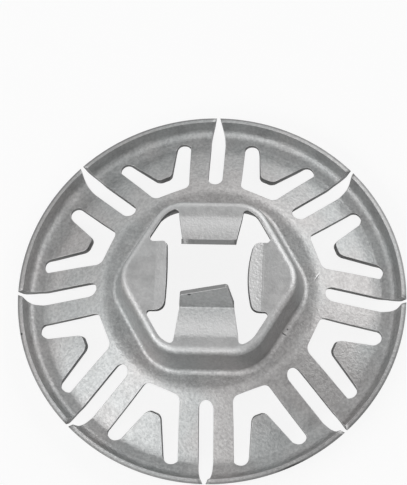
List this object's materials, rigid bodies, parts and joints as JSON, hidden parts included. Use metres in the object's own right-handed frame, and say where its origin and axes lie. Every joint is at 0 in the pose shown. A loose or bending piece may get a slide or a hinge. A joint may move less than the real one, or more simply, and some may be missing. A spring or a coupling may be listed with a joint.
{
  "type": "push-on moulding clip",
  "caption": "Round sprung clip of stamped sheet steel: a slotted, dished brim with a curled rim and a raised hexagonal boss whose opposed tongues bite a stud.",
  "frame": {"origin": "on the stud's axis, in the plane of the flat seat ring under the rim", "axes": "+Z along the stud's axis, out of the raised boss; X across the two side lobes; Y across the two gripping tongues"},
  "size_m": [0.038, 0.038, 0.0113],
  "materials": {
    "zinc_steel": "dull zinc plating, unpolished, with faint press marks"
  },
  "bodies": {
    "root": {"clip": "zinc_steel"}
  },
  "joints": []
}
